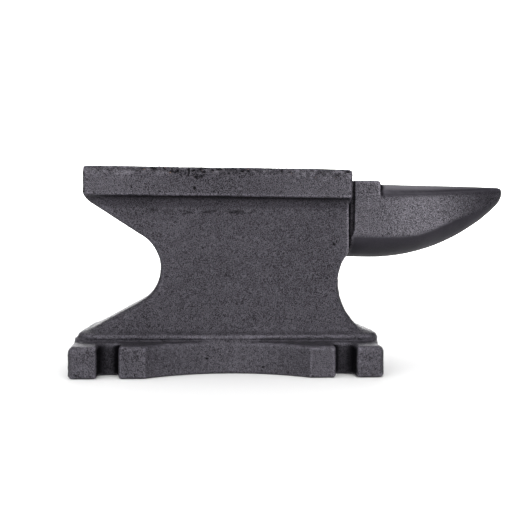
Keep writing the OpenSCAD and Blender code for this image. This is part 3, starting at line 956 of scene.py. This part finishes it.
def iron_paint(name, edge_wear_and_highlight_share):
    """Thin dark paint over a sand-cast skin. The masks say where it is worn and carries a painted edge highlight,
    pitted, dressed, or darkened with painted shade.
    """
    t = Tree(name)
    relief, pit, dressed, wear_and_edge_light, painted_shade, gloss, shelter, top_band = (
        t.mask(m) for m in ("relief", "pit", "dressed", "wear_and_edge_light", "painted_shade", "gloss", "shelter", "top_band"))
    grainy = t.math("SUBTRACT", 1.0, t.math("MULTIPLY", dressed, 0.9))
    broad = t.noise(BROAD_SCALE, 4.0, 0.6)
    sand = t.noise(SAND_SCALE, 2.0, 0.7)
    clump = t.noise(CLUMP_SCALE, 2.0, 0.6)

    relief_shade = t.spread(relief, 0.0, 1.0, -RELIEF_DEPTH, RELIEF_DEPTH)
    sand_shade = t.spread(sand, 0.3, 0.7, -SAND_DEPTH, SAND_DEPTH)
    clump_shade = t.spread(clump, 0.3, 0.7, -CLUMP_DEPTH, CLUMP_DEPTH)
    shade = t.math("ADD", t.spread(broad, 0.3, 0.7, 0.41, 0.59), relief_shade)
    speckle = t.math("MULTIPLY", t.math("ADD", sand_shade, clump_shade), grainy)
    shade = t.math("ADD", shade, speckle, clamp=True)

    colour = t.blend(shade, tone(DARK_TONE), tone(LIGHT_TONE))
    # Convex edges are painted lighter: worn paint together with a painted highlight.
    worn_and_highlit = t.math("MULTIPLY", t.spread(wear_and_edge_light, 0.15, 0.6), t.spread(clump, 0.42, 0.62))
    colour = t.blend(t.math("MULTIPLY", worn_and_highlit, edge_wear_and_highlight_share, clamp=True), colour, tone(WORN_AND_HIGHLIT_TONE))
    # Painted shade in hollows, under the face, beside the table and on rounded end edges.
    colour = t.blend(t.math("MULTIPLY", painted_shade, 0.9, clamp=True), colour, tone(PAINTED_SHADE_TONE))
    # Pits, lone pits and the crease under the face are coloured near black.
    colour = t.blend(t.math("MULTIPLY", pit, 0.85, clamp=True), colour, PIT_DARK)
    flecks = t.math("MULTIPLY", t.spread(t.noise(FLECK_SCALE, 1.0, 0.5), 0.72, 0.76), top_band, clamp=True)
    colour = t.blend(t.math("MULTIPLY", flecks, 0.5), colour, RUST)

    # Less shine in pits, in the painted shade, and in painted shade under overhangs.
    dull = t.math("MAXIMUM", t.math("MULTIPLY", pit, 0.9), painted_shade, clamp=True)
    dull = t.math("MAXIMUM", dull, t.math("MULTIPLY", shelter, 0.35), clamp=True)
    rough = t.math("ADD", t.spread(sand, 0.3, 0.7, 0.30, 0.44), t.math("MULTIPLY", dull, 0.45), clamp=True)
    edge_gloss = t.math("ADD", gloss, t.spread(wear_and_edge_light, 0.08, 0.7, 0.0, 1.1))
    shine = t.math("MULTIPLY", t.spread(shade, 0.0, 1.0, 0.12, 1.0), edge_gloss)
    specular = t.math("MULTIPLY", shine, t.spread(dull, 0.0, 1.0, 1.0, 0.05))
    height = t.math("ADD", t.math("MULTIPLY", sand, 0.6), t.math("MULTIPLY", clump, 0.8))
    bump = t.node("ShaderNodeBump", {
        "Strength": t.spread(grainy, 0.0, 1.0, 0.0, 1.0), "Distance": BUMP_DISTANCE, "Height": height})
    return t.finish({
        "Base Color": colour, "Roughness": rough, "IOR": IOR, "Specular IOR Level": specular,
        "Specular Tint": SPECULAR_TINT, "Normal": bump.outputs["Normal"]})


EDGE_WEAR_AND_HIGHLIGHT_SHARE, FACE_EDGE_WEAR_AND_HIGHLIGHT_SHARE = 0.5, 0.6
MATERIALS = {
    "casting": iron_paint("cast_iron_paint", EDGE_WEAR_AND_HIGHLIGHT_SHARE),
    "face": iron_paint("face_paint", FACE_EDGE_WEAR_AND_HIGHLIGHT_SHARE),
    "horn": iron_paint("horn_paint", EDGE_WEAR_AND_HIGHLIGHT_SHARE),
}
build_casting()

# ---------------------------------------------------------------- studio

FLOOR_REACH = 6
BACK_Y = 1.5
BACKDROP_LEFT, BACKDROP_RIGHT, BACKDROP_TOP = -0.8, 1.1, 1.1
BACKDROP_GLOW = 1.25
WORLD_LIGHT = 0.12
SENSOR_MM = 36
LENS_MM = 49.70077
CAMERA_AT = Vector((-0.013854, -0.42327, 0.065477))
CAMERA_YAW, CAMERA_PITCH, CAMERA_ROLL = (math.radians(angle) for angle in (4.57, -0.465, 0.391))


def sun(name, strength, spread_deg, *toward):
    """A soft sun, as wide across as spread_deg, that stands in the given direction."""
    data = bpy.data.lights.new(name, "SUN")
    data.energy = strength
    data.angle = math.radians(spread_deg)
    ob = bpy.data.objects.new(name, data)
    ob.rotation_euler = Vector(toward).to_track_quat("Z", "Y").to_euler()
    bpy.context.scene.collection.objects.link(ob)


def plane(name, corners, level, glow):
    """A plain matt plane of the studio, with a faint unevenness."""
    mesh = bpy.data.meshes.new(name)
    mesh.from_pydata(corners, [], [range(len(corners))])
    t = Tree(name)
    uneven = t.spread(t.noise(1.3), 0.3, 0.7)
    darker = level * 0.985
    shade = t.blend(uneven, (darker, darker, darker, 1), (level, level, level, 1))
    mesh.materials.append(t.finish({
        "Base Color": shade, "Roughness": 0.9, "Emission Color": (1, 1, 1, 1), "Emission Strength": glow}))
    ob = bpy.data.objects.new(name, mesh)
    bpy.context.scene.collection.objects.link(ob)


def white_world():
    """White to the camera, and a faint even light on the object."""
    world = bpy.data.worlds.new("studio")
    bpy.context.scene.world = world
    world.use_nodes = True
    tree = world.node_tree
    background = tree.nodes["Background"]
    background.inputs["Color"].default_value = (1, 1, 1, 1)
    path = tree.nodes.new("ShaderNodeLightPath")
    strength = tree.nodes.new("ShaderNodeMapRange")
    strength.inputs["To Min"].default_value = WORLD_LIGHT
    strength.inputs["To Max"].default_value = 1.0
    tree.links.new(path.outputs["Is Camera Ray"], strength.inputs["Value"])
    tree.links.new(strength.outputs["Result"], background.inputs["Strength"])


def side_camera():
    """The camera at the photo's viewing angle."""
    data = bpy.data.cameras.new("camera")
    data.sensor_width = SENSOR_MM
    data.lens = LENS_MM
    camera = bpy.data.objects.new("camera", data)
    bpy.context.scene.collection.objects.link(camera)
    bpy.context.scene.camera = camera
    level = math.cos(CAMERA_PITCH)
    forward = Vector((math.sin(CAMERA_YAW) * level, math.cos(CAMERA_YAW) * level, math.sin(CAMERA_PITCH)))
    right = Vector((math.cos(CAMERA_YAW), -math.sin(CAMERA_YAW), 0))
    up = right.cross(forward)
    rolled_right = right * math.cos(CAMERA_ROLL) + up * math.sin(CAMERA_ROLL)
    rolled_up = up * math.cos(CAMERA_ROLL) - right * math.sin(CAMERA_ROLL)
    turn = Matrix((rolled_right, rolled_up, -forward)).transposed().to_4x4()
    camera.matrix_world = Matrix.Translation(CAMERA_AT) @ turn


floor_corners = [
    (-FLOOR_REACH, -FLOOR_REACH, 0), (FLOOR_REACH, -FLOOR_REACH, 0),
    (FLOOR_REACH, BACK_Y, 0), (-FLOOR_REACH, BACK_Y, 0)]
backdrop_corners = [
    (BACKDROP_LEFT, BACK_Y, 0), (BACKDROP_RIGHT, BACK_Y, 0),
    (BACKDROP_RIGHT, BACK_Y, BACKDROP_TOP), (BACKDROP_LEFT, BACK_Y, BACKDROP_TOP)]
plane("floor", floor_corners, 0.93, 0.0)
sun("left", 1.2, 44, -0.53, -0.84, 0.28)
sun("right", 2.1, 34, 0.45, -0.90, 0.24)
sun("top", 2.4, 80, -0.1, -0.1, 1.0)
sun("back", 0.6, 50, 0.1, 0.85, 0.6)
plane("backdrop", backdrop_corners, 0.9, BACKDROP_GLOW)
white_world()
side_camera()
bpy.context.scene.view_settings.view_transform = "Standard"
